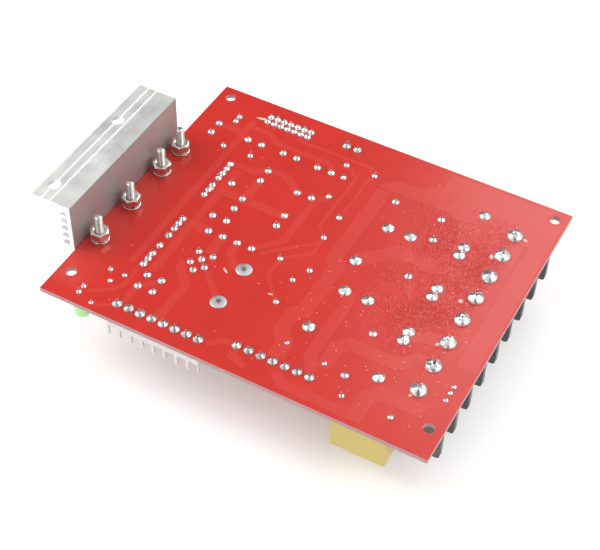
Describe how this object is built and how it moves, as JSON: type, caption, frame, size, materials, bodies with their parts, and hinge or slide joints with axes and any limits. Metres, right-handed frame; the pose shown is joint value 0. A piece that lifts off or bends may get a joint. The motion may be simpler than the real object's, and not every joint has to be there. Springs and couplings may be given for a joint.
{
  "type": "stepper driver module",
  "caption": "Power driver board lying solder side up, with a ribbed aluminium heatsink bracket bolted along one edge and a screw barrier terminal along the other.",
  "frame": {"origin": "centre of the four board mounting holes, on the solder-side face of the board", "axes": "+Z out of the solder side of the board, +X along the long side from the heatsink to the barrier terminal, +Y from the plug connectors to the ribbon header"},
  "size_m": [0.1408, 0.1079, 0.0434],
  "materials": {
    "solder_mask": "glossy red solder mask over glass-epoxy board",
    "solder": "bright tin-lead solder with flux stains",
    "heatsink_aluminium": "mill-finish extruded aluminium with drawn lines",
    "silicone_pad": "matte silicone insulator",
    "nylon": "moulded natural nylon",
    "tinned_copper": "tin-plated copper",
    "black_epoxy": "moulded black epoxy, satin",
    "plated_steel": "bright nickel-plated steel",
    "spring_steel": "plated spring steel",
    "black_thermoplastic": "moulded black thermoplastic with fine texture",
    "tinned_brass": "tin-plated brass",
    "white_nylon": "moulded white nylon",
    "gold_flash": "gold-flashed brass",
    "can_aluminium": "drawn aluminium can",
    "dark_sleeve": "shrunk PVC sleeve",
    "blue_sleeve": "shrunk PVC sleeve",
    "black_rubber": "black rubber bung",
    "red_film": "moulded box in red-brown resin",
    "blue_ceramic": "dipped blue lacquer",
    "yellow_box": "moulded yellow box with cast resin",
    "grey_cement": "grey flameproof lacquer with colour bands",
    "resistor_lacquer": "blue lacquer with colour bands",
    "blue_plastic": "moulded blue plastic",
    "white_plastic": "moulded white plastic",
    "green_lens": "tinted diffused epoxy lens",
    "coated_ferrite": "epoxy-coated ferrite ring",
    "enamelled_copper": "enamelled copper wire"
  },
  "bodies": {
    "board_assembly": {"board": "solder_mask", "signal_solder_joints": "solder", "power_solder_joints": "solder", "heatsink_bracket": "heatsink_aluminium", "insulating_pads": "silicone_pad", "insulating_bushes": "nylon", "transistor_tabs": "tinned_copper", "transistor_bodies": "black_epoxy", "clamp_bolts": "plated_steel", "flat_washers": "plated_steel", "spring_washers": "spring_steel", "hex_nuts": "plated_steel", "barrier_housing": "black_thermoplastic", "barrier_contacts": "tinned_brass", "eight_way_connector": "white_nylon", "seven_way_connector": "white_nylon", "two_way_connector": "white_nylon", "connector_pins": "tinned_brass", "ribbon_header_shroud": "black_thermoplastic", "jumper_header_base": "black_thermoplastic", "header_pins": "gold_flash", "bulk_capacitor_cans": "can_aluminium", "bulk_capacitor_sleeves": "dark_sleeve", "bulk_capacitor_seals": "black_rubber", "small_capacitor_sleeves": "blue_sleeve", "small_capacitor_seals": "black_rubber", "film_capacitors": "red_film", "disc_capacitors": "blue_ceramic", "suppression_capacitor": "yellow_box", "power_diodes": "black_epoxy", "power_resistors": "grey_cement", "small_resistors": "resistor_lacquer", "bridge_rectifier": "black_epoxy", "small_transistors": "black_epoxy", "trimmer_body": "blue_plastic", "indicator_led": "green_lens", "choke_core": "coated_ferrite", "choke_winding": "enamelled_copper", "solder_posts": "tinned_brass", "controller_chip": "black_epoxy", "gate_driver_chips": "black_epoxy", "component_leads": "tinned_copper"},
    "clamp_1": {"wire_clamp_1": "plated_steel"},
    "screw_1": {"terminal_screw_1": "plated_steel"},
    "clamp_2": {"wire_clamp_2": "plated_steel"},
    "screw_2": {"terminal_screw_2": "plated_steel"},
    "clamp_3": {"wire_clamp_3": "plated_steel"},
    "screw_3": {"terminal_screw_3": "plated_steel"},
    "clamp_4": {"wire_clamp_4": "plated_steel"},
    "screw_4": {"terminal_screw_4": "plated_steel"},
    "clamp_5": {"wire_clamp_5": "plated_steel"},
    "screw_5": {"terminal_screw_5": "plated_steel"},
    "clamp_6": {"wire_clamp_6": "plated_steel"},
    "screw_6": {"terminal_screw_6": "plated_steel"},
    "clamp_7": {"wire_clamp_7": "plated_steel"},
    "screw_7": {"terminal_screw_7": "plated_steel"},
    "clamp_8": {"wire_clamp_8": "plated_steel"},
    "screw_8": {"terminal_screw_8": "plated_steel"},
    "trimmer_wheel": {"trimmer_rotor": "white_plastic"}
  },
  "joints": [
    {"name": "terminal_1_travel", "type": "slide", "parent": "board_assembly", "child": "clamp_1", "axis": [0, 0, -1], "range_m": [0, 0.0028]},
    {"name": "terminal_1_turn", "type": "hinge", "parent": "clamp_1", "child": "screw_1", "pos_m": [0.05425, -0.03625, -0.012], "axis": [0, 0, -1], "range_deg": [0, 1440]},
    {"name": "terminal_2_travel", "type": "slide", "parent": "board_assembly", "child": "clamp_2", "axis": [0, 0, -1], "range_m": [0, 0.0028]},
    {"name": "terminal_2_turn", "type": "hinge", "parent": "clamp_2", "child": "screw_2", "pos_m": [0.05425, -0.02625, -0.012], "axis": [0, 0, -1], "range_deg": [0, 1440]},
    {"name": "terminal_3_travel", "type": "slide", "parent": "board_assembly", "child": "clamp_3", "axis": [0, 0, -1], "range_m": [0, 0.0028]},
    {"name": "terminal_3_turn", "type": "hinge", "parent": "clamp_3", "child": "screw_3", "pos_m": [0.05425, -0.01625, -0.012], "axis": [0, 0, -1], "range_deg": [0, 1440]},
    {"name": "terminal_4_travel", "type": "slide", "parent": "board_assembly", "child": "clamp_4", "axis": [0, 0, -1], "range_m": [0, 0.0028]},
    {"name": "terminal_4_turn", "type": "hinge", "parent": "clamp_4", "child": "screw_4", "pos_m": [0.05425, -0.00625, -0.012], "axis": [0, 0, -1], "range_deg": [0, 1440]},
    {"name": "terminal_5_travel", "type": "slide", "parent": "board_assembly", "child": "clamp_5", "axis": [0, 0, -1], "range_m": [0, 0.0028]},
    {"name": "terminal_5_turn", "type": "hinge", "parent": "clamp_5", "child": "screw_5", "pos_m": [0.05425, 0.00375, -0.012], "axis": [0, 0, -1], "range_deg": [0, 1440]},
    {"name": "terminal_6_travel", "type": "slide", "parent": "board_assembly", "child": "clamp_6", "axis": [0, 0, -1], "range_m": [0, 0.0028]},
    {"name": "terminal_6_turn", "type": "hinge", "parent": "clamp_6", "child": "screw_6", "pos_m": [0.05425, 0.01375, -0.012], "axis": [0, 0, -1], "range_deg": [0, 1440]},
    {"name": "terminal_7_travel", "type": "slide", "parent": "board_assembly", "child": "clamp_7", "axis": [0, 0, -1], "range_m": [0, 0.0028]},
    {"name": "terminal_7_turn", "type": "hinge", "parent": "clamp_7", "child": "screw_7", "pos_m": [0.05425, 0.02375, -0.012], "axis": [0, 0, -1], "range_deg": [0, 1440]},
    {"name": "terminal_8_travel", "type": "slide", "parent": "board_assembly", "child": "clamp_8", "axis": [0, 0, -1], "range_m": [0, 0.0028]},
    {"name": "terminal_8_turn", "type": "hinge", "parent": "clamp_8", "child": "screw_8", "pos_m": [0.05425, 0.03375, -0.012], "axis": [0, 0, -1], "range_deg": [0, 1440]},
    {"name": "trimmer_turn", "type": "hinge", "parent": "board_assembly", "child": "trimmer_wheel", "pos_m": [-0.047, -0.04225, -0.005], "axis": [0, 0, -1], "range_deg": [-120, 120]}
  ],
  "couplings": [
    {"joint": "terminal_1_turn", "follows": "terminal_1_travel", "rad_per_m": 8976},
    {"joint": "terminal_2_turn", "follows": "terminal_2_travel", "rad_per_m": 8976},
    {"joint": "terminal_3_turn", "follows": "terminal_3_travel", "rad_per_m": 8976},
    {"joint": "terminal_4_turn", "follows": "terminal_4_travel", "rad_per_m": 8976},
    {"joint": "terminal_5_turn", "follows": "terminal_5_travel", "rad_per_m": 8976},
    {"joint": "terminal_6_turn", "follows": "terminal_6_travel", "rad_per_m": 8976},
    {"joint": "terminal_7_turn", "follows": "terminal_7_travel", "rad_per_m": 8976},
    {"joint": "terminal_8_turn", "follows": "terminal_8_travel", "rad_per_m": 8976}
  ]
}
